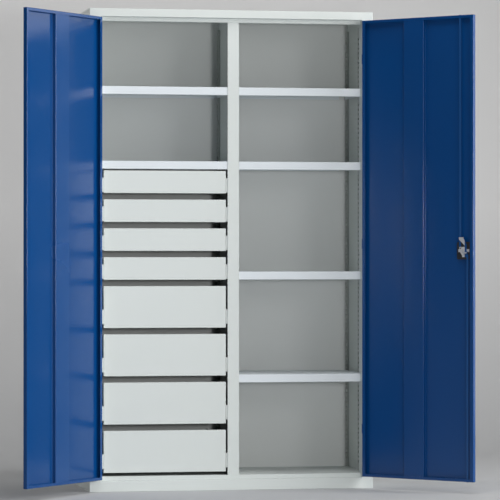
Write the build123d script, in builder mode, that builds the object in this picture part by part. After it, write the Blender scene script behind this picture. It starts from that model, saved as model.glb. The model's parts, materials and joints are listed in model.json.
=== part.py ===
from build123d import *

import os

# A steel tool cabinet with two hinged doors. A partition splits it into a left bay with
# two shelves over eight drawers, and a right bay with four shelves.
# Millimetres. +Z is up, the front looks along -Y. The origin is the middle of the
# carcass on the floor.

# ---- Driving dimensions ----

width = 1200.0
height = 2000.0
depth = 450.0
carcass_sheet = 1.2
bend_radius = 2.0
lip_setback = 25.0
header_height = 33.5
plinth_height = 45.0
lip_height = 17.0
post_width = 46.0
post_depth = 64.0
corner_strip = 9.0
wall_inset = 9.5
rear_flange = 25.0
stiffening_fold = 20.0

flange_width = 48.0
flange_offset = 8.0

upright_depth = 8.5
upright_width = 30.0
front_upright_setback = 177.0
rear_upright_setback = 414.0
slot_width = 18.0
slot_height = 9.0
slot_pitch = 20.0
slot_first = 100.0
slot_last = 1900.0

shelf_sheet = 1.0
shelf_front_height = 33.5
shelf_side_height = 25.0
shelf_under_fold = 15.0
shelf_setback = 27.4
shelf_gap = 1.0
shelf_back_gap = 4.0
left_shelf_tops = (1680.0, 1370.0)
right_shelf_tops = (1680.0, 1370.0, 910.0, 480.0)
clip_sheet = 1.5
clip_width = 14.0
clip_reach = 16.0
clip_drop = 24.0
clip_hook = 8.0
clip_play = 0.2

drawer_sheet = 1.0
drawer_centre = -280.0
drawer_front_width = 514.0
drawer_front_setback = 28.0
drawer_front_thickness = 18.0
large_drawer_pitch = 200.0
small_drawer_pitch = 120.0
large_drawers = 4
small_drawers = 4
finger_gap = 26.0
first_drawer_bottom = 76.0
box_bottom_lift = 6.0
box_top_drop = 18.0
box_back_setback = 424.0
large_runner_lift = 17.0
small_runner_lift = 4.0
bracket_sheet = 1.5
bracket_height = 60.0
runner_play = 0.5
bracket_back_setback = 440.0
slide_space = 13.0
slide_height = 45.0
slide_sheet = 1.2
slide_length = 385.0
slide_setback = 1.0
slide_play = 0.3
slide_web_play = 1.0
slide_mouth = 3.5
slide_lip_play = 1.6

door_sheet = 1.2
door_thickness = 18.0
door_gap = 2.6
door_centre_gap = 2.0
door_top_gap = 4.0
door_bottom_gap = 5.0
door_side_return = 16.0
door_end_return = 12.0
left_opening = 130.85
right_opening = 132.6
hinge_inset = 42.0
hinge_heights = (230.0, 1006.0, 1782.0)
hinge_half_length = 40.0
hinge_gap = 0.5
knuckle_radius = 5.5
hinge_pin_radius = 3.0
hinge_pin_play = 0.05
hinge_leaf_sheet = 2.5
hinge_leaf_width = 24.0
hinge_cutout_margin = 2.0
stiffener_sheet = 1.0
stiffener_width = 98.0
stiffener_depth = 15.4
stiffener_flange = 12.0
left_stiffener_start = 251.0
right_stiffener_start = 215.0

lock_from_hinge = 509.0
lock_height = 997.0
rod_offset = 17.5
rod_width = 8.0
rod_thickness = 3.0
rod_depth = 13.0
rod_play = 0.5
rod_proud = 1.0
rod_from_spindle = 16.0
rod_hole_margin = 2.5
crank_sheet = 2.0
crank_width = 8.0
crank_reach = 55.0
crank_shoulder = 9.0
crank_top_width = 22.0
crank_neck_top = 20.0
bridge_bottom = 27.0
bridge_top = 17.0
bridge_bend = 3.0
bridge_width = 8.5
bridge_end = 6.0
crank_eye_wall = 3.0
cam_radius = 16.0
cam_arm = 26.0
cam_width = 12.0
cam_sheet = 1.9
cam_pin_offset = 9.2
cam_pin_radius = 2.2
cam_pin_play = 0.6
spindle_radius = 5.0
spindle_play = 0.1
case_width = 74.0
case_height = 72.0
case_shift = 3.0
case_depth = 11.3
case_corner = 6.0
handle_plate_width = 38.0
handle_plate_height = 130.0
handle_plate_sheet = 3.0
handle_plate_corner = 8.0
handle_hub_radius = 16.0
handle_hub_length = 20.0
handle_gap = 0.3
handle_length = 112.0
handle_bar_width = 20.0
handle_bar_thickness = 12.0
handle_bar_corner = 4.0
spindle_socket = 5.0
cylinder_radius = 8.0
cylinder_depth = 14.0
cylinder_proud = 1.5
keyway_width = 1.6
keyway_height = 8.0
keyway_depth = 7.0
guide_height = 10.0
guide_wall = 5.0

fixing_hole_radius = 4.5
fixing_hole_spacing = 1000.0
fixing_hole_drop = 15.0
support_width = 60.0
support_sheet = 2.0

# ---- Derived places ----

left = -width / 2
right = width / 2
front = -depth / 2
back = depth / 2
lip_face = front + lip_setback
back_panel_front = back - 2 * carcass_sheet
header_bottom = height - header_height
lip_top = header_bottom - lip_height
floor_top = plinth_height + lip_height
opening_left = left + post_width
opening_right = right - post_width
post_back = front + post_depth
roof_bottom = height - carcass_sheet
wall_left = left + wall_inset
wall_right = right - wall_inset
flange_left = flange_offset - flange_width / 2
flange_right = flange_offset + flange_width / 2
web_right = flange_right - upright_depth
web_left = web_right - carcass_sheet
slot_face_left = wall_left + upright_depth
slot_face_right = wall_right - upright_depth
slot_face_web_left = web_left - upright_depth
slot_face_web_right = flange_right

drawer_left = drawer_centre - drawer_front_width / 2
drawer_right = drawer_centre + drawer_front_width / 2
drawer_front_face = front + drawer_front_setback
box_front = drawer_front_face + drawer_front_thickness
runner_left = drawer_left - runner_play
runner_right = drawer_right + runner_play
box_left = runner_left + slide_space
box_right = runner_right - slide_space
box_back = front + box_back_setback
bracket_face = front + shelf_setback
slide_front = box_front + slide_setback
slide_back = slide_front + slide_length

door_bottom = plinth_height + door_bottom_gap
door_top = header_bottom - door_top_gap
door_start = post_width + door_gap - hinge_inset
door_end = (width - door_centre_gap) / 2 - hinge_inset
upper_rod_from_hinge = lock_from_hinge - rod_offset
lower_rod_from_hinge = lock_from_hinge + rod_offset
crank_depth = rod_depth + rod_thickness


# ---- Helpers ----


def slab(x_span, y_span, z_span, mode=Mode.ADD):
    """Add or cut a box between three pairs of limits."""
    spans = (x_span, y_span, z_span)
    with Locations(tuple((first + last) / 2 for first, last in spans)):
        Box(*(abs(last - first) for first, last in spans), mode=mode)


def rod_along_z(x, y, z_span, radius, mode=Mode.ADD):
    """Add or cut an upright cylinder."""
    low, high = z_span
    with Locations((x, y, (low + high) / 2)):
        Cylinder(radius, high - low, mode=mode)


def rod_along_y(x, y_span, z, radius, mode=Mode.ADD):
    """Add or cut a cylinder that lies along Y."""
    first, last = y_span
    with Locations((x, (first + last) / 2, z)):
        Cylinder(radius, abs(last - first), rotation=(90, 0, 0), mode=mode)


def folded(points, plane, length, thickness=carcass_sheet, side=Side.LEFT):
    """Bend a sheet along a path of corners and run it along the plane's normal."""
    with BuildSketch(plane) as profile:
        with BuildLine():
            FilletPolyline(*points, radius=bend_radius)
            offset(amount=thickness, side=side)
        make_face()
    extrude(profile.sketch, amount=length)


def save(piece, name):
    """Label one finished piece and write it."""
    piece.part.label = name
    export_step(piece.part, f"parts/{name}.step")


def door_plane(side, opening):
    """A plane on a hinge axis: X runs to the free edge, Z up, for a door turned open."""
    x_axis = Vector(-side, 0, 0).rotate(Axis.Z, side * opening)
    return Plane(origin=(side * (width / 2 - hinge_inset), front, 0), x_dir=x_axis, z_dir=(0, 0, 1))


os.makedirs("parts", exist_ok=True)

# ---- Carcass ----

# The side panel is one sheet folded into a hollow front post and a double wall.
with BuildPart() as side_panel_left:
    side_path = (
        (left + rear_flange, back),
        (left, back),
        (left, front),
        (opening_left, front),
        (opening_left, post_back),
        (wall_left, post_back),
        (wall_left, back_panel_front),
    )
    folded(side_path, Plane.XY, height)
    slab(
        (left + carcass_sheet, opening_left),
        (front + carcass_sheet, back),
        (roof_bottom, height),
        Mode.SUBTRACT,
    )
    slab(
        (left + corner_strip, opening_left),
        (front, front + bend_radius),
        (header_bottom, height),
        Mode.SUBTRACT,
    )
    slab((left + corner_strip, opening_left), (front, front + bend_radius), (0, plinth_height), Mode.SUBTRACT)
    for centre in hinge_heights:
        slab(
            (left + hinge_inset - knuckle_radius - hinge_cutout_margin, opening_left),
            (front, front + knuckle_radius + hinge_cutout_margin),
            (
                centre - hinge_half_length - hinge_cutout_margin,
                centre + hinge_half_length + hinge_cutout_margin,
            ),
            Mode.SUBTRACT,
        )
save(side_panel_left, "side_panel_left")

with BuildPart() as side_panel_right:
    mirror(side_panel_left.part, about=Plane.YZ)
save(side_panel_right, "side_panel_right")

# The roof turns down into the header, back under it and down again into the door stop.
with BuildPart() as roof_panel:
    header_path = (
        (lip_face + stiffening_fold, lip_top),
        (lip_face, lip_top),
        (lip_face, header_bottom),
        (front, header_bottom),
        (front, height),
        (back - carcass_sheet, height),
    )
    folded(header_path, Plane.YZ.offset(opening_left), opening_right - opening_left, side=Side.RIGHT)
    for strip_left, strip_right in (
        (left + corner_strip, opening_left),
        (opening_right, right - corner_strip),
    ):
        face_path = ((front, header_bottom), (front, height), (back - carcass_sheet, height))
        folded(face_path, Plane.YZ.offset(strip_left), strip_right - strip_left, side=Side.RIGHT)
    for strip_left, strip_right in (
        (left + carcass_sheet, left + corner_strip),
        (right - corner_strip, right - carcass_sheet),
    ):
        slab((strip_left, strip_right), (front + bend_radius, back - carcass_sheet), (roof_bottom, height))
    slab(
        (left + rear_flange, right - rear_flange),
        (back - carcass_sheet, back),
        (height - rear_flange, height),
    )
    for x in (-fixing_hole_spacing / 2, fixing_hole_spacing / 2):
        rod_along_y(
            x,
            (back - carcass_sheet, back),
            height - fixing_hole_drop,
            fixing_hole_radius,
            Mode.SUBTRACT,
        )
    slab(
        (
            right - hinge_inset - upper_rod_from_hinge - rod_width / 2 - rod_hole_margin,
            right - hinge_inset - upper_rod_from_hinge + rod_width / 2 + rod_hole_margin,
        ),
        (front + rod_depth - rod_hole_margin, front + crank_depth + rod_hole_margin),
        (header_bottom, header_bottom + carcass_sheet),
        Mode.SUBTRACT,
    )
save(roof_panel, "roof_panel")

with BuildPart() as plinth:
    plinth_path = (
        (front + stiffening_fold + lip_setback, 0),
        (front, 0),
        (front, plinth_height),
        (lip_face + carcass_sheet, plinth_height),
    )
    folded(plinth_path, Plane.YZ.offset(opening_left), opening_right - opening_left, side=Side.RIGHT)
    for strip_left, strip_right in (
        (left + corner_strip, opening_left),
        (opening_right, right - corner_strip),
    ):
        slab((strip_left, strip_right), (front, front + carcass_sheet), (0, plinth_height))
    slab(
        (
            right - hinge_inset - lower_rod_from_hinge - rod_width / 2 - rod_hole_margin,
            right - hinge_inset - lower_rod_from_hinge + rod_width / 2 + rod_hole_margin,
        ),
        (front + rod_depth - rod_hole_margin, front + crank_depth + rod_hole_margin),
        (plinth_height - carcass_sheet, plinth_height),
        Mode.SUBTRACT,
    )
save(plinth, "plinth")

# The floor turns down at the front into the lower door stop and fits round the posts.
with BuildPart() as floor_panel:
    floor_path = (
        (lip_face, plinth_height),
        (lip_face, floor_top),
        (back_panel_front, floor_top),
        (back_panel_front, plinth_height),
    )
    folded(floor_path, Plane.YZ.offset(opening_left), opening_right - opening_left, side=Side.RIGHT)
    for wall, opening in ((wall_left, opening_left), (wall_right, opening_right)):
        wing = (post_back + bend_radius, back_panel_front)
        slab((wall, opening), wing, (floor_top - carcass_sheet, floor_top))
        inner = wall + carcass_sheet if wall < 0 else wall - carcass_sheet
        slab((wall, inner), wing, (plinth_height, floor_top))
save(floor_panel, "floor_panel")

with BuildPart() as back_panel:
    slab(
        (left + bend_radius, right - bend_radius),
        (back_panel_front, back - carcass_sheet),
        (0, roof_bottom),
    )
    for x in (-fixing_hole_spacing / 2, fixing_hole_spacing / 2):
        rod_along_y(
            x,
            (back_panel_front, back - carcass_sheet),
            height - fixing_hole_drop,
            fixing_hole_radius,
            Mode.SUBTRACT,
        )
save(back_panel, "back_panel")

# The partition is a web with a wide front flange, level with the door stops.
with BuildPart() as partition:
    web_start = lip_face + carcass_sheet
    slab((web_left, web_right), (web_start, back_panel_front), (floor_top, lip_top))
    slab(
        (web_left, web_right),
        (lip_face + stiffening_fold, back_panel_front),
        (lip_top, roof_bottom),
    )
    slab((flange_left, flange_right), (lip_face, web_start), (floor_top, lip_top))
    slab(
        (flange_right - carcass_sheet, flange_right),
        (web_start, lip_face + stiffening_fold),
        (floor_top, lip_top),
    )
    slab(
        (web_right, web_right + stiffening_fold),
        (post_back, back_panel_front),
        (floor_top, floor_top + carcass_sheet),
    )
    slab(
        (web_right, web_right + stiffening_fold),
        (post_back, back_panel_front),
        (roof_bottom - carcass_sheet, roof_bottom),
    )
    fillet(edges().filter_by(Axis.Z).group_by(Axis.Y)[0], radius=carcass_sheet / 2)
save(partition, "partition")

# A hat rail under the floor carries the partition down to the ground.
with BuildPart() as floor_support:
    slab(
        (-support_width / 2, support_width / 2),
        (lip_face + stiffening_fold + carcass_sheet, back_panel_front - bend_radius),
        (0, floor_top - carcass_sheet),
    )
    slab(
        (-support_width / 2 + support_sheet, support_width / 2 - support_sheet),
        (lip_face, back),
        (support_sheet, floor_top - carcass_sheet),
        Mode.SUBTRACT,
    )
save(floor_support, "floor_support")


# One slotted channel, its slotted face at X = 0 and its legs towards +X.
with BuildPart() as upright:
    upright_bottom = floor_top + carcass_sheet
    slab((0, upright_depth), (0, upright_width), (upright_bottom, lip_top))
    slab(
        (carcass_sheet, upright_depth),
        (carcass_sheet, upright_width - carcass_sheet),
        (upright_bottom, lip_top),
        Mode.SUBTRACT,
    )
    slot_count = int((slot_last - slot_first) / slot_pitch) + 1
    slot_centres = [
        (carcass_sheet / 2, upright_width / 2, slot_first + number * slot_pitch)
        for number in range(slot_count)
    ]
    with Locations(*slot_centres):
        Box(carcass_sheet, slot_width, slot_height, mode=Mode.SUBTRACT)

with BuildPart() as slotted_uprights:
    places = []
    for setback in (front_upright_setback, rear_upright_setback):
        upright_front = front + setback
        upright_rear = upright_front + upright_width
        places += [Location((x, upright_front, 0)) for x in (slot_face_web_left, slot_face_right)]
        places += [Location((x, upright_rear, 0), (0, 0, 180)) for x in (slot_face_left, slot_face_web_right)]
    with Locations(*places):
        add(upright.part)
save(slotted_uprights, "slotted_uprights")

# ---- Shelves ----


def slot_below(z):
    """The height of the first slot at or below z."""
    return slot_first + slot_pitch * int((z - slot_first) / slot_pitch)


def hook(face, inward, middle, slot_z):
    """A tongue through an upright's slot with a hook that drops behind its face."""
    behind = face - inward * (carcass_sheet + clip_play)
    hook_back = behind - inward * clip_sheet
    width_span = (middle - clip_width / 2, middle + clip_width / 2)
    tongue_bottom = slot_z - slot_height / 2
    tongue_top = tongue_bottom + clip_sheet
    slab((hook_back, face), width_span, (tongue_bottom, tongue_top))
    slab((hook_back, behind), width_span, (tongue_bottom - clip_hook, tongue_top))


def clip(face, inward, setback, top):
    """A sheet clip hooked into an upright, with a tab under a shelf's side fold."""
    middle = front + setback + upright_width / 2
    width_span = (middle - clip_width / 2, middle + clip_width / 2)
    seat = top - shelf_side_height
    with BuildPart() as shelf_clip:
        slab((face, face + inward * clip_sheet), width_span, (seat - clip_drop, seat))
        slab((face, face + inward * clip_reach), width_span, (seat - clip_sheet, seat))
        hook(face, inward, middle, slot_below(seat - slot_height / 2))
    return shelf_clip.part


def shelf(wide_left, wide_right, front_left, front_right, top):
    """A folded shelf, narrower at the front where it passes a post."""
    shelf_front = front + shelf_setback
    shelf_back = back_panel_front - shelf_back_gap
    shelf_path = (
        (shelf_front + shelf_under_fold, top - shelf_front_height),
        (shelf_front, top - shelf_front_height),
        (shelf_front, top),
        (shelf_back, top),
        (shelf_back, top - shelf_side_height),
    )
    folded(shelf_path, Plane.YZ.offset(front_left), front_right - front_left, shelf_sheet, Side.RIGHT)
    wing_front = post_back + shelf_gap
    for wide, narrow, inward in ((wide_left, front_left, 1), (wide_right, front_right, -1)):
        fold_front = wing_front
        if wide == narrow:
            fold_front = shelf_front + bend_radius
        else:
            slab((wide, narrow), (wing_front, shelf_back), (top - shelf_sheet, top))
        slab((wide, wide + inward * shelf_sheet), (fold_front, shelf_back), (top - shelf_side_height, top))


for number, top in enumerate(left_shelf_tops, 1):
    with BuildPart() as shelf_left:
        shelf(
            slot_face_left + shelf_gap,
            slot_face_web_left - shelf_gap,
            opening_left + shelf_gap,
            slot_face_web_left - shelf_gap,
            top,
        )
    save(shelf_left, f"shelf_left_{number}")

for number, top in enumerate(right_shelf_tops, 1):
    with BuildPart() as shelf_right:
        shelf(
            slot_face_web_right + shelf_gap,
            slot_face_right - shelf_gap,
            slot_face_web_right + shelf_gap,
            opening_right - shelf_gap,
            top,
        )
    save(shelf_right, f"shelf_right_{number}")

clips = []
for setback in (front_upright_setback, rear_upright_setback):
    for top in left_shelf_tops:
        clips += [clip(slot_face_left, 1, setback, top), clip(slot_face_web_left, -1, setback, top)]
    for top in right_shelf_tops:
        clips += [clip(slot_face_web_right, 1, setback, top), clip(slot_face_right, -1, setback, top)]

with BuildPart() as shelf_clips:
    add(clips)
save(shelf_clips, "shelf_clips")

# ---- Drawers and their slides ----


def drawer_list():
    """Each drawer's number, front bottom, front height and bracket bottom, from the lowest up."""
    bottom = first_drawer_bottom
    drawers = []
    for number in range(large_drawers + small_drawers, 0, -1):
        large = number > small_drawers
        pitch = large_drawer_pitch if large else small_drawer_pitch
        lift = large_runner_lift if large else small_runner_lift
        drawers.append((number, bottom, pitch - finger_gap, bottom + lift))
        bottom += pitch
    return drawers


def runner_bracket(slot_face, runner, tab_end, flange_front, bottom):
    """A channel hooked into two uprights that carries one slide, closed by a front tab."""
    inward = 1 if slot_face < runner else -1
    bracket_back = front + bracket_back_setback
    top = bottom + bracket_height
    web = (runner - inward * bracket_sheet, runner)
    with BuildPart() as bracket:
        slab(web, (bracket_face, bracket_back), (bottom, top))
        slab((runner, tab_end), (bracket_face, bracket_face + bracket_sheet), (bottom, top))
        for edge, inner in ((bottom, bottom + bracket_sheet), (top, top - bracket_sheet)):
            slab((runner, slot_face), (flange_front, bracket_back), (edge, inner))
        for setback in (front_upright_setback, rear_upright_setback):
            middle = front + setback + upright_width / 2
            ear = (middle - clip_width / 2, middle + clip_width / 2)
            slab((slot_face, slot_face + inward * bracket_sheet), ear, (bottom, top))
            hook(slot_face, inward, middle, slot_below(bottom + bracket_height / 2))
    return bracket.part


def slide_pair(bracket_bottom, web_depth, open_depth, half_height):
    """One member of a drawer's two slides: a channel on each side that is open to its mate."""
    middle = bracket_bottom + bracket_height / 2
    low = middle - half_height
    high = middle + half_height
    run = (slide_front, slide_back)
    web_face = web_depth + (slide_sheet if open_depth > web_depth else -slide_sheet)
    for runner, inward in ((runner_left, 1), (runner_right, -1)):
        slab((runner + inward * web_depth, runner + inward * web_face), run, (low, high))
        flange = (runner + inward * web_depth, runner + inward * open_depth)
        slab(flange, run, (low, low + slide_sheet))
        slab(flange, run, (high - slide_sheet, high))


outer_half_height = slide_height / 2
middle_half_height = outer_half_height - slide_sheet - slide_play
inner_half_height = middle_half_height - slide_sheet - slide_play
channel_lip = slide_space - slide_mouth
middle_web = slide_sheet + slide_web_play
inner_lip = middle_web + slide_sheet + slide_lip_play

brackets = []
for number, bottom, front_height, bracket_bottom in drawer_list():
    tab_end = opening_left + runner_play
    flange_front = post_back + shelf_gap
    brackets.append(runner_bracket(slot_face_left, runner_left, tab_end, flange_front, bracket_bottom))
    tab_end = slot_face_web_left
    brackets.append(runner_bracket(slot_face_web_left, runner_right, tab_end, bracket_face, bracket_bottom))

with BuildPart() as runner_brackets:
    add(brackets)
save(runner_brackets, "runner_brackets")

with BuildPart() as outer_slides:
    for number, bottom, front_height, bracket_bottom in drawer_list():
        slide_pair(bracket_bottom, 0, channel_lip, outer_half_height)
save(outer_slides, "outer_slides")

for number, bottom, front_height, bracket_bottom in drawer_list():
    with BuildPart() as middle_slides:
        slide_pair(bracket_bottom, middle_web, channel_lip, middle_half_height)
    save(middle_slides, f"drawer_{number}_middle_slides")

    with BuildPart() as inner_slides:
        slide_pair(bracket_bottom, slide_space, inner_lip, inner_half_height)
    save(inner_slides, f"drawer_{number}_inner_slides")

    box_bottom = bottom + box_bottom_lift
    box_top = bottom + front_height - box_top_drop
    with BuildPart() as drawer:
        slab((drawer_left, drawer_right), (drawer_front_face, box_front), (bottom, bottom + front_height))
        fillet(faces().sort_by(Axis.Y)[0].edges(), radius=bend_radius)
        slab(
            (drawer_left + drawer_sheet, drawer_right - drawer_sheet),
            (drawer_front_face + drawer_sheet, box_front),
            (bottom + drawer_sheet, bottom + front_height - drawer_sheet),
            Mode.SUBTRACT,
        )
        slab(
            (drawer_left + drawer_sheet, drawer_right - drawer_sheet),
            (box_front - drawer_sheet, box_front),
            (bottom + drawer_sheet, box_top),
        )
        slab((box_left, box_right), (box_front - drawer_sheet, box_back), (box_bottom, box_top))
        slab(
            (box_left + drawer_sheet, box_right - drawer_sheet),
            (box_front, box_back - drawer_sheet),
            (box_bottom + drawer_sheet, box_top),
            Mode.SUBTRACT,
        )
    save(drawer, f"drawer_{number}")

# ---- Doors ----

left_door = door_plane(-1, left_opening)
right_door = door_plane(1, right_opening)
left_inward = 1
right_inward = -1


def door_tray(inward):
    """A door skin with side walls and narrow folds round its open inner side."""
    slab((door_start, door_end), (0, inward * door_thickness), (door_bottom, door_top))
    fillet(edges(), radius=bend_radius)
    slab(
        (door_start + door_sheet, door_end - door_sheet),
        (inward * door_sheet, inward * (door_thickness - door_sheet)),
        (door_bottom + door_sheet, door_top - door_sheet),
        Mode.SUBTRACT,
    )
    slab(
        (door_start + door_side_return, door_end - door_side_return),
        (inward * (door_thickness - door_sheet), inward * door_thickness),
        (door_bottom + door_end_return, door_top - door_end_return),
        Mode.SUBTRACT,
    )


def stiffener(door, inward, start):
    """A hat section from the bottom to the top of a door's inside."""
    skin = door_sheet
    crown = door_sheet + stiffener_depth - stiffener_sheet
    end = start + stiffener_width
    corners = (
        (start - stiffener_flange, skin),
        (start, skin),
        (start, crown),
        (end, crown),
        (end, skin),
        (end + stiffener_flange, skin),
    )
    foot = door.origin + Vector(0, 0, door_bottom + door_sheet)
    base = Plane(origin=foot, x_dir=door.x_dir, z_dir=door.z_dir)
    side = Side.LEFT if inward > 0 else Side.RIGHT
    path = [(along, inward * across) for along, across in corners]
    folded(path, base, door_top - door_bottom - 2 * door_sheet, stiffener_sheet, side)


def door_hinge_halves(inward):
    """The upper knuckles with the leaves that are welded on the door's outer skin."""
    for centre in hinge_heights:
        half = (centre + hinge_gap / 2, centre + hinge_half_length)
        rod_along_z(0, 0, half, knuckle_radius)
        slab((0, door_start + hinge_leaf_width), (0, -inward * hinge_leaf_sheet), half)
        rod_along_z(0, 0, half, hinge_pin_radius + hinge_pin_play, Mode.SUBTRACT)


with BuildPart(left_door) as door_left_panel:
    door_tray(left_inward)
save(door_left_panel, "door_left_panel")

with BuildPart(right_door) as door_right_panel:
    door_tray(right_inward)
    for rod, wall in (
        (upper_rod_from_hinge, (door_top - door_sheet, door_top)),
        (lower_rod_from_hinge, (door_bottom, door_bottom + door_sheet)),
    ):
        slab(
            (rod - rod_width / 2 - rod_play, rod + rod_width / 2 + rod_play),
            (right_inward * (rod_depth - rod_play), right_inward * (crank_depth + rod_play)),
            wall,
            Mode.SUBTRACT,
        )
    rod_along_y(
        lock_from_hinge,
        (0, right_inward * door_sheet),
        lock_height,
        spindle_radius + spindle_play,
        Mode.SUBTRACT,
    )
save(door_right_panel, "door_right_panel")

with BuildPart() as door_left_stiffener:
    stiffener(left_door, left_inward, left_stiffener_start)
save(door_left_stiffener, "door_left_stiffener")

with BuildPart() as door_right_stiffener:
    stiffener(right_door, right_inward, right_stiffener_start)
save(door_right_stiffener, "door_right_stiffener")

with BuildPart(left_door) as door_left_hinges:
    door_hinge_halves(left_inward)
save(door_left_hinges, "door_left_hinges")

with BuildPart(right_door) as door_right_hinges:
    door_hinge_halves(right_inward)
save(door_right_hinges, "door_right_hinges")

with BuildPart() as frame_hinges:
    for side in (-1, 1):
        hinge_x = side * (width / 2 - hinge_inset)
        for centre in hinge_heights:
            half = (centre - hinge_half_length, centre - hinge_gap / 2)
            rod_along_z(hinge_x, front, half, knuckle_radius)
            slab(
                (hinge_x, hinge_x + side * hinge_leaf_width),
                (front + carcass_sheet, front + carcass_sheet + hinge_leaf_sheet),
                half,
            )
            rod_along_z(hinge_x, front, half, hinge_pin_radius + hinge_pin_play, Mode.SUBTRACT)
save(frame_hinges, "frame_hinges")

with BuildPart() as hinge_pins:
    for side in (-1, 1):
        for centre in hinge_heights:
            span = (centre - hinge_half_length, centre + hinge_half_length)
            rod_along_z(side * (width / 2 - hinge_inset), front, span, hinge_pin_radius)
save(hinge_pins, "hinge_pins")

# ---- Lock on the right door ----

# Lock pieces are drawn on the door's face: X to the free edge, Y up, Z into the cabinet.
lock_plane = Plane(
    origin=right_door.from_local_coords(Vector(lock_from_hinge, 0, lock_height)),
    x_dir=right_door.x_dir,
    z_dir=right_door.y_dir * right_inward,
)
spindle_axis = Axis(lock_plane.origin, lock_plane.z_dir)
handle_back = -handle_plate_sheet - handle_gap
handle_face = handle_back - handle_hub_length
cam_front = rod_depth + cam_sheet


def round_bar(radius, depth_span, mode=Mode.ADD):
    """Add or cut a cylinder on the lock's spindle axis."""
    first, last = depth_span
    with Locations((0, 0, (first + last) / 2)):
        Cylinder(radius, abs(last - first), mode=mode)


pin_reach = cam_pin_offset * 2**0.5
eye_middle = (cam_pin_offset + pin_reach) / 2
eye_height = 2 * (cam_pin_radius + cam_pin_play)
eye_width = pin_reach - cam_pin_offset + eye_height
neck_inner = eye_middle - crank_width / 2
neck_outer = eye_middle + crank_width / 2
rod_side = -rod_offset - rod_width / 2
upper_outline = (
    (rod_side, crank_reach),
    (rod_side, crank_reach - crank_shoulder),
    (neck_inner, crank_neck_top),
    (neck_inner, -cam_pin_offset),
    (neck_outer, -cam_pin_offset),
    (neck_outer, crank_neck_top + crank_width / 2),
    (rod_side + crank_top_width, crank_reach - crank_shoulder / 2),
    (rod_side + crank_top_width, crank_reach),
)
lower_outline = (
    (rod_side, bridge_bottom),
    (rod_side, bridge_top),
    (bridge_end - bridge_width, bridge_top),
    (neck_inner, bridge_bend),
    (neck_inner, -cam_pin_offset),
    (neck_outer, -cam_pin_offset),
    (neck_outer, bridge_bend + crank_width / 2),
    (bridge_end, bridge_top + crank_width / 2),
    (bridge_end, bridge_bottom),
)


def crank(outline, upward):
    """A cranked plate from a rod across to the cam pin, with a level eye that the pin runs in."""
    points = [(upward * across, upward * up) for across, up in outline]
    with BuildSketch(lock_plane.offset(crank_depth)) as plate:
        with BuildLine():
            Polyline(*points, close=True)
        make_face()
        with Locations((upward * eye_middle, -upward * cam_pin_offset)):
            Rectangle(eye_width + 2 * crank_eye_wall, eye_height + 2 * crank_eye_wall)
            Rectangle(eye_width, eye_height, mode=Mode.SUBTRACT)
    extrude(plate.sketch, amount=crank_sheet)


with BuildPart(lock_plane) as upper_rod:
    slab(
        (-rod_offset - rod_width / 2, -rod_offset + rod_width / 2),
        (rod_from_spindle, door_top + rod_proud - lock_height),
        (rod_depth, crank_depth),
    )
    crank(upper_outline, 1)
save(upper_rod, "upper_rod")

with BuildPart(lock_plane) as lower_rod:
    slab(
        (rod_offset - rod_width / 2, rod_offset + rod_width / 2),
        (door_bottom - rod_proud - lock_height, -rod_from_spindle),
        (rod_depth, crank_depth),
    )
    crank(lower_outline, -1)
save(lower_rod, "lower_rod")

with BuildPart(lock_plane) as lock_cam:
    round_bar(cam_radius, (rod_depth, cam_front))
    slab((-cam_arm, cam_arm), (-cam_width / 2, cam_width / 2), (rod_depth, cam_front))
    round_bar(spindle_radius, (handle_back - spindle_socket, rod_depth))
    pin_length = crank_depth + crank_sheet - cam_front
    pin_middle = cam_front + pin_length / 2
    with Locations(
        (cam_pin_offset, -cam_pin_offset, pin_middle),
        (-cam_pin_offset, cam_pin_offset, pin_middle),
    ):
        Cylinder(cam_pin_radius, pin_length)
save(lock_cam, "lock_cam")

with BuildPart(lock_plane) as lock_case:
    slab(
        (case_shift - case_width / 2, case_shift + case_width / 2),
        (-case_height / 2, case_height / 2),
        (door_sheet, door_sheet + case_depth),
    )
    fillet(edges().filter_by(spindle_axis), radius=case_corner)
    round_bar(spindle_radius + spindle_play, (door_sheet, door_sheet + case_depth), Mode.SUBTRACT)
save(lock_case, "lock_case")

with BuildPart(lock_plane) as handle_plate:
    slab(
        (-handle_plate_width / 2, handle_plate_width / 2),
        (-handle_plate_height / 2, handle_plate_height / 2),
        (-handle_plate_sheet, 0),
    )
    fillet(edges().filter_by(spindle_axis), radius=handle_plate_corner)
    round_bar(spindle_radius + spindle_play, (-handle_plate_sheet, 0), Mode.SUBTRACT)
save(handle_plate, "handle_plate")

with BuildPart(lock_plane) as lock_handle:
    slab(
        (-handle_length, 0),
        (-handle_bar_width / 2, handle_bar_width / 2),
        (handle_face, handle_face + handle_bar_thickness),
    )
    fillet(edges().filter_by(Axis(lock_plane.origin, lock_plane.x_dir)), radius=handle_bar_corner)
    round_bar(handle_hub_radius, (handle_face, handle_back))
    round_bar(cylinder_radius + spindle_play / 2, (handle_face, handle_face + cylinder_depth), Mode.SUBTRACT)
    round_bar(spindle_radius, (handle_back - spindle_socket, handle_back), Mode.SUBTRACT)
save(lock_handle, "lock_handle")

with BuildPart(lock_plane) as lock_cylinder:
    round_bar(cylinder_radius, (handle_face - cylinder_proud, handle_face + cylinder_depth))
    slab(
        (-keyway_width / 2, keyway_width / 2),
        (-keyway_height / 2, keyway_height / 2),
        (handle_face - cylinder_proud, handle_face - cylinder_proud + keyway_depth),
        Mode.SUBTRACT,
    )
save(lock_cylinder, "lock_cylinder")

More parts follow.
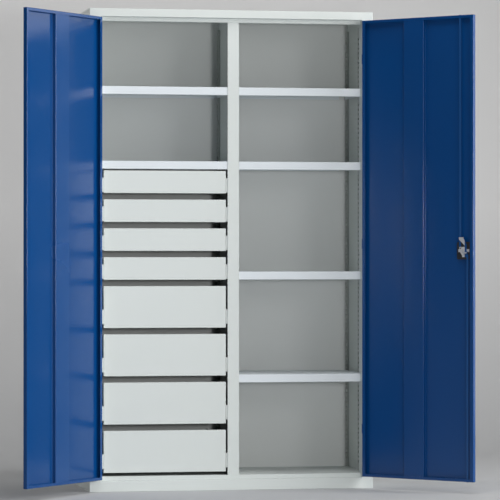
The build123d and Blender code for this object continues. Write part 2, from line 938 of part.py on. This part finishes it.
with BuildPart(right_door) as rod_guides:
    for rod, seat, towards_lock in (
        (upper_rod_from_hinge, door_top - door_sheet, -1),
        (lower_rod_from_hinge, door_bottom + door_sheet, 1),
    ):
        block = (seat, seat + towards_lock * guide_height)
        channel = rod_width / 2 + rod_play
        slab(
            (rod - channel - guide_wall, rod + channel + guide_wall),
            (right_inward * door_sheet, right_inward * crank_depth),
            block,
        )
        slab(
            (rod - channel, rod + channel),
            (right_inward * (rod_depth - rod_play), right_inward * crank_depth),
            block,
            Mode.SUBTRACT,
        )
save(rod_guides, "rod_guides")
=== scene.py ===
# %% [markdown]
# # A steel tool cabinet
#
# The real cabinet is folded steel sheet under powder coat: a light grey carcass, slightly
# cooler white shelves, and blue doors. The construction is already there as a fixed frame of
# CAD nodes, so this lesson is about finish: paint, zinc plate, moulded plastic, one sculpted
# lever, and the soft studio light that makes thin folded sheet readable.

import json
import math

import bpy
import numpy as np
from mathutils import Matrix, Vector


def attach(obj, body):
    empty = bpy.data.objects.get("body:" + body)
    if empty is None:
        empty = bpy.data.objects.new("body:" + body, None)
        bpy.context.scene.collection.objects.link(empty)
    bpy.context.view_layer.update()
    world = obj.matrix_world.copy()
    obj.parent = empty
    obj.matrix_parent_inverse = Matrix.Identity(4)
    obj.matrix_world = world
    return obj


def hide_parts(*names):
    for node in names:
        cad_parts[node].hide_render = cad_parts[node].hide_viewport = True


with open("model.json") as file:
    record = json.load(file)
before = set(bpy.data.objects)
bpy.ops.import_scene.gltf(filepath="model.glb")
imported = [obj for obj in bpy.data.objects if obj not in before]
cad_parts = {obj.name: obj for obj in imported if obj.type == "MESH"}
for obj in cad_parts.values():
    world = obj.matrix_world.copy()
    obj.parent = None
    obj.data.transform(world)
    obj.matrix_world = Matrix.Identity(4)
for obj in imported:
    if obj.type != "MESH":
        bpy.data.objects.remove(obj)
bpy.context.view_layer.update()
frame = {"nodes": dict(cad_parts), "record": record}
nodes = frame["nodes"]

# %% [markdown]
# ## Shader maths as plain expressions
#
# A material is a small program. Wiring Math nodes one by one hides the formula, so one class
# wraps a socket and overloads the arithmetic signs: `0.3 + 0.1 * noise` then adds the nodes
# by itself. Every other node comes from one method that takes its type, settings and inputs.


# %% The socket wrapper
class Signal:
    """One output socket of a shader tree. Arithmetic on it adds Math nodes."""

    def __init__(self, tree, socket):
        self.tree = tree
        self.socket = socket

    def combine(self, operation, *values):
        node = self.tree.nodes.new("ShaderNodeMath")
        node.operation = operation
        for slot, value in zip(node.inputs, values):
            plug(self.tree, slot, value)
        return Signal(self.tree, node.outputs[0])

    def __add__(self, other):
        return self.combine("ADD", self, other)

    def __radd__(self, other):
        return self.combine("ADD", other, self)

    def __sub__(self, other):
        return self.combine("SUBTRACT", self, other)

    def __rsub__(self, other):
        return self.combine("SUBTRACT", other, self)

    def __mul__(self, other):
        return self.combine("MULTIPLY", self, other)

    def __rmul__(self, other):
        return self.combine("MULTIPLY", other, self)

    def clamp(self, low=0.0, high=1.0):
        return self.combine("MINIMUM", self.combine("MAXIMUM", self, low), high)


def plug(tree, slot, value):
    """Feed a socket with a signal, or set its plain value."""
    if isinstance(value, Signal):
        tree.links.new(value.socket, slot)
    elif value is not None:
        slot.default_value = value


def rgba(value):
    """A colour as a socket takes it: a signal stays, three numbers get an alpha of 1."""
    return value if isinstance(value, Signal) else (*value, 1.0)


# %% The recipe: one material under construction
class Recipe:
    """A material's node tree, its shader, and helpers that add nodes."""

    def __init__(self, name):
        self.material = bpy.data.materials.new(name)
        self.material.use_nodes = True
        self.tree = self.material.node_tree
        self.shader = self.tree.nodes["Principled BSDF"]
        self.place = self.node("ShaderNodeTexCoord", output="Object")

    def node(self, kind, settings=None, inputs=None, output=0):
        made = self.tree.nodes.new(kind)
        for name, value in (settings or {}).items():
            setattr(made, name, value)
        for name, value in (inputs or {}).items():
            plug(self.tree, made.inputs[name], value)
        return Signal(self.tree, made.outputs[output])

    def set(self, **inputs):
        for name, value in inputs.items():
            plug(self.tree, self.shader.inputs[name.replace("_", " ")], value)

    def stretched(self, scale):
        """Object coordinates, scaled on each axis in waves per metre."""
        return self.node("ShaderNodeMapping", inputs={"Vector": self.place, "Scale": scale})

    def noise(self, scale, detail=2.0, place=None):
        """Soft noise around zero, in waves per metre."""
        inputs = {"Vector": place or self.place, "Scale": scale, "Detail": detail}
        return self.node("ShaderNodeTexNoise", inputs=inputs) - 0.5

    def height_of(self, direction, start):
        """How far a point lies from `start` along `direction`, in metres."""
        inputs = {0: self.place, 1: tuple(direction)}
        reach = self.node("ShaderNodeVectorMath", {"operation": "DOT_PRODUCT"}, inputs, "Value")
        return reach - start.dot(direction)

    def mixed(self, amount, first, second):
        """One colour fading into another."""
        inputs = {0: amount, 6: rgba(first), 7: rgba(second)}
        return self.node("ShaderNodeMix", {"data_type": "RGBA"}, inputs, output=2)

    def bump(self, height, depth, below=None):
        """A normal from a height signal, whose full swing is depth metres."""
        inputs = {"Height": height, "Distance": depth, "Strength": 1.0, "Normal": below}
        return self.node("ShaderNodeBump", inputs=inputs)


def tinted(colour, factor):
    """A colour made lighter or darker, kept within what paint can be."""
    return tuple(min(1.0, channel * factor) for channel in colour)


# %% [markdown]
# ## Powder coat
#
# Powder coat is sprayed as dry dust and melted, so it sets with a faint orange peel: dimples
# about a millimetre wide and a few hundredths deep. Under it the sheet itself is never quite
# flat. Both are height patterns on the normal. The colour drifts by a few hundredths, and
# level faces carry a thin film of workshop dust.

# %% Paint
DUST = (0.52, 0.51, 0.49)
PEEL_WAVES = 820.0
SHEET_WAVES = 2.2


def powder_coat(name, colour, gloss, peel_depth=0.00003, sheet_depth=0.0010):
    """Satin paint on steel sheet: colour drift, orange peel, sheet waves, dust on level faces."""
    paint = Recipe(name)
    drift = paint.noise(1.7, 3.0) * 0.10 + paint.noise(240.0) * 0.05
    painted = paint.mixed((drift + 0.5).clamp(), tinted(colour, 0.91), tinted(colour, 1.09))
    facing = paint.node("ShaderNodeNewGeometry", output="Normal")
    upward = paint.node("ShaderNodeSeparateXYZ", inputs={"Vector": facing}, output="Z")
    film = ((upward - 0.9) * 10.0).clamp() * (paint.noise(9.0, 4.0) + 0.35).clamp(0.0, 0.5)
    paint.set(Base_Color=paint.mixed(film * 0.5, painted, DUST))
    paint.set(Roughness=(gloss + paint.noise(2.6, 4.0) * 0.10 + film * 0.3).clamp(0.05))
    waves = paint.bump(paint.noise(SHEET_WAVES, 1.0), sheet_depth)
    paint.set(Normal=paint.bump(paint.noise(PEEL_WAVES, 1.0), peel_depth, below=waves))
    return paint.material


CARCASS_GREY = (0.71, 0.755, 0.735)
BACK_GREY = (0.735, 0.755, 0.745)
# The slotted uprights get a darker grey than the carcass: painted shade for the inner walls that face
# away from the main lamp.
UPRIGHT_SHADE_GREY = (0.50, 0.52, 0.50)
SHELF_WHITE = (0.77, 0.825, 0.86)
DOOR_BLUE = (0.0022, 0.060, 0.230)
# The left door's stiffener gets a lighter blue than the door: a painted sheen for the light band along
# its crown.
STIFFENER_SHEEN_BLUE = (0.0090, 0.070, 0.245)
carcass_paint = powder_coat("carcass_grey", CARCASS_GREY, 0.42)
back_paint = powder_coat("back_grey", BACK_GREY, 0.45)
upright_shade_paint = powder_coat("upright_shade_grey", UPRIGHT_SHADE_GREY, 0.45)
shelf_paint = powder_coat("shelf_white", SHELF_WHITE, 0.40)
door_paint = powder_coat("door_blue", DOOR_BLUE, 0.15, peel_depth=0.00001, sheet_depth=0.0006)
stiffener_sheen_paint = powder_coat("stiffener_sheen_blue", STIFFENER_SHEEN_BLUE, 0.26, peel_depth=0.00002)

# %% [markdown]
# ## Zinc plate and black plastic
#
# Slides, clips and pins are zinc plated: a bright metal with cloudy patches and fine drawing
# lines along its length. The lock case, the rod guides and the handle are moulded nylon with
# a fine spark-eroded grain.

# %% Zinc and plastic
SLIDE_ZINC = (0.66, 0.67, 0.68)
LOCK_METAL = 0.6
LOCK_ZINC = (0.90, 0.89, 0.87)


def zinc_plate(name, colour, roughness, along, metal=1.0):
    """Zinc plate with cloudy patches and fine lines, stretched by `along`."""
    zinc = Recipe(name)
    lines = zinc.noise(1.0, 2.0, zinc.stretched(along))
    cloud = zinc.noise(60.0, 3.0)
    patches = (cloud * 1.4 + 0.5).clamp()
    zinc.set(Base_Color=zinc.mixed(patches, tinted(colour, 0.80), tinted(colour, 1.12)))
    zinc.set(Metallic=metal, Roughness=(roughness + cloud * 0.2 + lines * 0.15).clamp(0.05))
    zinc.set(Normal=zinc.bump(lines, 0.00002))
    return zinc.material


def nylon(name, colour, roughness):
    """Moulded nylon with a fine grain and faint flow marks."""
    plastic = Recipe(name)
    flow = plastic.noise(35.0, 2.0)
    worn = tuple(channel * 2.2 + 0.01 for channel in colour)
    plastic.set(Base_Color=plastic.mixed((flow * 0.8 + 0.3).clamp(), colour, worn))
    plastic.set(Roughness=(roughness + flow * 0.12).clamp(0.05))
    plastic.set(Normal=plastic.bump(plastic.noise(1400.0, 2.0), 0.00004))
    return plastic.material


slide_zinc = zinc_plate("slide_zinc", SLIDE_ZINC, 0.34, (900.0, 12.0, 900.0))
lock_zinc = zinc_plate("lock_zinc", LOCK_ZINC, 0.34, (400.0, 400.0, 30.0), LOCK_METAL)
black_nylon = nylon("lock_black", (0.012, 0.012, 0.013), 0.48)

# %% [markdown]
# ## The lock's own directions
#
# The lock sits on a door that stands open, so its pieces are easiest to describe on the door's
# face: `across` runs to the free edge, `up` is up, `inward` goes through the door. The joint
# of the lock already holds its place and its axis, so nothing is measured twice.

# %% Directions
lock_joint = next(j for j in frame["record"]["behaviour"]["joints"] if j["name"] == "lock_turn")
spindle = Vector(lock_joint["pos_m"])
inward = -Vector(lock_joint["axis"]).normalized()
up = Vector((0.0, 0.0, 1.0))
across = up.cross(inward)
print("spindle at", [round(v, 3) for v in spindle], "across", [round(v, 3) for v in across])

# %% [markdown]
# ## Locking rods
#
# Each rod carries a blue a little lighter than the door paint. This is painted reflection: the door's
# blue as the rod's plate mirrors it. The rod ends in a zinc plated crank that reaches across to the
# cam. Both are one
# CAD node, so the material itself changes from the painted blue to plate where the crank starts: beyond
# the rod's own thickness, and short of the rod's own line.

# %% Rod colour: painted reflection and zinc
# The rod's blue is painted reflection of the door, lighter than the door paint.
ROD_REFLECTED_BLUE = (0.0120, 0.085, 0.270)
CRANK_DEPTH = 0.0170
CRANK_REACH = 0.0065
SHARPNESS = 8000.0


def rod_finish(name, reflected_colour, zinc_colour):
    """Painted reflection on the rod, a blue a little lighter than the door paint; zinc plate on its
    crank.
    """
    rod = Recipe(name)
    past_rod = (rod.height_of(inward, spindle) - CRANK_DEPTH) * SHARPNESS
    beside_rod = (CRANK_REACH - rod.height_of(across, spindle)) * SHARPNESS
    plated = past_rod.clamp() * beside_rod.clamp()
    cloud = rod.noise(60.0, 3.0)
    rod.set(Base_Color=rod.mixed(plated, reflected_colour, zinc_colour), Metallic=plated * LOCK_METAL)
    rod.set(Roughness=0.22 + plated * (0.1 + cloud * 0.2))
    rod.set(Normal=rod.bump(rod.noise(PEEL_WAVES, 1.0), 0.00002))
    return rod.material


rod_paint = rod_finish("rod_reflected_blue_and_zinc", ROD_REFLECTED_BLUE, LOCK_ZINC)

# %% Finish for every node
BY_SLOT = {
    "carcass_grey": carcass_paint,
    "door_blue": door_paint,
    "slide_zinc": slide_zinc,
    "lock_black": black_nylon,
}
finish = {part["node"]: BY_SLOT[part["material_slot"]] for part in frame["record"]["subparts"]}
for name in nodes:
    if name.startswith("shelf_left") or name.startswith("shelf_right"):
        finish[name] = shelf_paint
# The slotted uprights take the darker grey of painted shade.
finish.update(back_panel=back_paint, slotted_uprights=upright_shade_paint)
# The stiffener's lighter blue is a painted sheen on the same door paint.
finish.update(door_left_stiffener=stiffener_sheen_paint)
finish.update(upper_rod=rod_paint, lower_rod=rod_paint)
finish.update(lock_cam=lock_zinc, lock_cylinder=lock_zinc)
for name, material in finish.items():
    for slot in nodes[name].material_slots:
        slot.material = material
print("finished", len(finish), "nodes in", len(set(finish.values())), "materials")

# %% [markdown]
# ## Lever handle
#
# The real lever is a nylon moulding: a round hub that flows into a grip which is slim in the
# middle and fuller at its end, with no sharp edge anywhere. The CAD node is a bar on a disc,
# good for collision. A lofted surface gives the moulded shape: each section is a superellipse,
# and its width, thickness and place are smooth functions of the distance from the spindle.

# %% The lever
LEVER_LENGTH = 0.1115
HUB_RADIUS = 0.0158
HUB_BACK = -0.0034
HUB_FACE = -0.0230


def ring_mesh(name, points, material, last_cap=True):
    """A mesh from rings x columns x 3 points: each ring closes on itself, the ends are capped."""
    rows, columns = points.shape[:2]
    index = np.arange(rows * columns).reshape(rows, columns)
    index = np.concatenate((index, index[:, :1]), axis=1)
    corners = (index[:-1, :-1], index[1:, :-1], index[1:, 1:], index[:-1, 1:])
    faces = np.stack(corners, axis=-1).reshape(-1, 4).tolist()
    faces.append(index[0, :-1].tolist())
    if last_cap:
        faces.append(index[-1, -2::-1].tolist())
    mesh = bpy.data.meshes.new(name)
    mesh.from_pydata(points.reshape(-1, 3).tolist(), [], faces)
    mesh.shade_smooth()
    mesh.materials.append(material)
    piece = bpy.data.objects.new(name, mesh)
    bpy.context.scene.collection.objects.link(piece)
    return piece


def on_door(x, y, z):
    """Points given across, up and inward from the spindle, as an array in the shared frame."""
    directions = np.array([across, up, inward])
    return np.array(spindle) + np.stack((x, y, z), axis=-1) @ directions


def eased(t):
    """A smooth step: 0 at t = 0, 1 at t = 1, level at both ends."""
    t = np.clip(t, 0.0, 1.0)
    return t * t * (3.0 - 2.0 * t)


def lever_points(rows=64, columns=40):
    """The grip: superellipse sections |y/b|^3 + |z/c|^3 = 1 at distance r from the spindle."""
    step = np.linspace(0.0, 1.0, rows)[:, None]
    angle = np.linspace(0.0, 2 * np.pi, columns, endpoint=False)[None, :]
    reach = LEVER_LENGTH * np.sin(step * np.pi / 2) ** 0.9
    slim = 0.0130 - 0.0048 * eased(step / 0.45) + 0.0016 * eased((step - 0.5) / 0.4)
    rounding = np.sqrt(1.0 - 0.99 * step**14)
    half_height = slim * rounding
    half_depth = (0.0056 - 0.0008 * eased((step - 0.3) / 0.5)) * rounding
    power = 2.0 / 3.0
    y = half_height * np.sign(np.cos(angle)) * np.abs(np.cos(angle)) ** power
    z = half_depth * np.sign(np.sin(angle)) * np.abs(np.sin(angle)) ** power
    x = np.broadcast_to(-reach, y.shape)
    return on_door(x, y, z - 0.0172)


def hub_points(rows=28, columns=56):
    """The hub: radius R cos(t)^0.5 and depth D sin(t)^0.5, for t up to a small flat face."""
    step = np.linspace(0.0, 1.0, rows)[:, None]
    angle = np.linspace(0.0, 2 * np.pi, columns, endpoint=False)[None, :]
    turn = step * 1.5
    radius = HUB_RADIUS * np.cos(turn) ** 0.5 * np.ones_like(angle)
    depth = HUB_BACK + (HUB_FACE - HUB_BACK) * np.sin(turn) ** 0.5
    z = depth * np.ones_like(angle)
    return on_door(radius * np.cos(angle), radius * np.sin(angle), z)


lever = ring_mesh("lever_grip", lever_points(), black_nylon)
hub = ring_mesh("lever_hub", hub_points(), black_nylon)
for piece in (lever, hub):
    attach(piece, "lock")
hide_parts("lock_handle")
print("lever faces:", len(lever.data.polygons), "hub faces:", len(hub.data.polygons))

# %% [markdown]
# ## Studio
#
# The cabinet stands in a cove of matt paper: a floor that turns up into walls all round, so
# there is no horizon line. It is one surface, a profile of floor edge, quarter circle and wall
# carried round a rounded oblong. The wall at the left is the darkest, because the right door
# mirrors it. The paper shows only from inside, so that the cabinet's back and sides can be
# seen from beyond the walls; a wide ground sheet lies just under its floor.

# %% The cove
COVE_LEFT = -7.0
COVE_RIGHT = 7.0
COVE_FRONT = -14.0
COVE_BACK = 3.2
COVE_RADIUS = 1.5
COVE_TOP = 7.0
GROUND_DROP = 0.004
FLOOR_GREY = (0.57, 0.575, 0.58)
BACK_WALL_GREY = (0.89, 0.885, 0.88)
LEFT_WALL_GREY = (0.12, 0.12, 0.12)
RIGHT_WALL_GREY = (0.42, 0.42, 0.42)


def cove_points(columns=160):
    """Rings at an inset and a height, each a superellipse |x/a|^8 + |y/b|^8 = 1."""
    turn = np.linspace(0.0, np.pi / 2, 21)
    inset = np.append(COVE_RADIUS - COVE_RADIUS * np.sin(turn), 0.0)[:, None]
    height = np.append(COVE_RADIUS - COVE_RADIUS * np.cos(turn), COVE_TOP)[:, None]
    angle = np.linspace(0.0, 2 * np.pi, columns, endpoint=False)[None, :]
    along_x = np.sign(np.cos(angle)) * np.abs(np.cos(angle)) ** 0.25
    along_y = np.sign(np.sin(angle)) * np.abs(np.sin(angle)) ** 0.25
    x = (COVE_RIGHT + COVE_LEFT) / 2 + ((COVE_RIGHT - COVE_LEFT) / 2 - inset) * along_x
    y = (COVE_BACK + COVE_FRONT) / 2 + ((COVE_BACK - COVE_FRONT) / 2 - inset) * along_y
    return np.stack((x, y, np.broadcast_to(height, x.shape)), axis=-1)


def cove_paper(name):
    """Matt paper: a floor tone, pale behind the cabinet, mid-grey at the right, dark at the left."""
    cove = Recipe(name)
    height = cove.node("ShaderNodeSeparateXYZ", inputs={"Vector": cove.place}, output="Z")
    depth = cove.node("ShaderNodeSeparateXYZ", inputs={"Vector": cove.place}, output="Y")
    across = cove.node("ShaderNodeSeparateXYZ", inputs={"Vector": cove.place}, output="X")
    side = cove.mixed((across * 0.5 + 0.5).clamp(), LEFT_WALL_GREY, RIGHT_WALL_GREY)
    wall = cove.mixed((depth * 0.5 + 0.2).clamp(), side, BACK_WALL_GREY)
    cove.set(Base_Color=cove.mixed((height * 0.8).clamp(), FLOOR_GREY, wall), Roughness=0.9)
    cove.set(Alpha=1.0 - cove.node("ShaderNodeNewGeometry", output="Backfacing"))
    return cove.material


paper = cove_paper("cove_paper")
ground_corners = np.array([[(30, 30, 0), (-30, 30, 0), (-30, -30, 0), (30, -30, 0)]])
cove = ring_mesh("studio_cove", cove_points(), paper, last_cap=False)
ground = ring_mesh("studio_ground", ground_corners - (0, 0, GROUND_DROP), paper, last_cap=False)

# %% [markdown]
# ## Lamps
#
# A large lamp at the right is the main light: it rakes the fronts and makes the left door
# bright and the right door deep. Two small lamps far ahead, one a little above the other,
# reach through the bays and the narrow gaps between the drawers, and a wider one higher up
# fills the shelves. A weak wide one beside the cabinet puts a sheen on the edges that face
# right, one overhead lifts the roof and the floor, and one behind lights the back. A narrow
# `spread` keeps a lamp's light off the paper; the same watts are then brighter.

# %% Lamps
MIDDLE = (0.0, 0.0, 1.0)
IN_FRONT = (0.0, -1.5, 1.0)
FORWARD = (0.0, -3.2, 1.0)
BEHIND = (0.5, 0.5, 1.1)
LAMPS = {
    "side": {"place": (5.2, -3.4, 2.2), "aim": IN_FRONT, "size": 2.6, "watts": 112.0, "spread": 110},
    "right": {"place": (5.4, 0.3, 1.6), "aim": FORWARD, "size": 3.2, "watts": 20.0, "spread": 120},
    "ahead": {"place": (-0.15, -11.2, 1.34), "aim": MIDDLE, "size": 0.5, "watts": 72.0, "spread": 180},
    "level": {"place": (-0.15, -11.2, 1.05), "aim": MIDDLE, "size": 0.4, "watts": 122.0, "spread": 180},
    "high": {"place": (2.8, -7.0, 2.6), "aim": MIDDLE, "size": 1.6, "watts": 30.0, "spread": 180},
    "top": {"place": (0.0, -2.6, 5.5), "aim": MIDDLE, "size": 3.0, "watts": 102.0, "spread": 180},
    "rear": {"place": (-4.4, 1.6, 2.4), "aim": BEHIND, "size": 1.6, "watts": 5.5, "spread": 50},
}
for name, lamp in LAMPS.items():
    data = bpy.data.lights.new(name, "AREA")
    data.energy = lamp["watts"]
    data.size = lamp["size"]
    data.spread = math.radians(lamp["spread"])
    light = bpy.data.objects.new(name, data)
    light.location = lamp["place"]
    to_aim = Vector(lamp["aim"]) - light.location
    light.rotation_euler = to_aim.to_track_quat("-Z", "Y").to_euler()
    bpy.context.scene.collection.objects.link(light)

AIR_STRENGTH = 0.06
world = bpy.data.worlds.new("studio_air")
world.use_nodes = True
world.node_tree.nodes["Background"].inputs["Color"].default_value = (1.0, 1.0, 1.0, 1.0)
world.node_tree.nodes["Background"].inputs["Strength"].default_value = AIR_STRENGTH
bpy.context.scene.world = world

# %% Camera
CAMERA_YAW = math.radians(10.833)
CAMERA_PITCH = math.radians(0.153)
CAMERA_DISTANCE = 12.24
CAMERA_TARGET = Vector((0.0742, -0.225, 1.0002))
camera_data = bpy.data.cameras.new("camera")
camera_data.sensor_width = 36.0
camera_data.lens = 211.26
camera_data.clip_end = 100.0
camera = bpy.data.objects.new("camera", camera_data)
looking = Vector((
    math.sin(CAMERA_YAW) * math.cos(CAMERA_PITCH),
    math.cos(CAMERA_YAW) * math.cos(CAMERA_PITCH),
    math.sin(CAMERA_PITCH),
))
camera.location = CAMERA_TARGET - CAMERA_DISTANCE * looking
camera.rotation_euler = looking.to_track_quat("-Z", "Y").to_euler()
bpy.context.scene.collection.objects.link(camera)
bpy.context.scene.camera = camera
bpy.context.scene.view_settings.view_transform = "Standard"
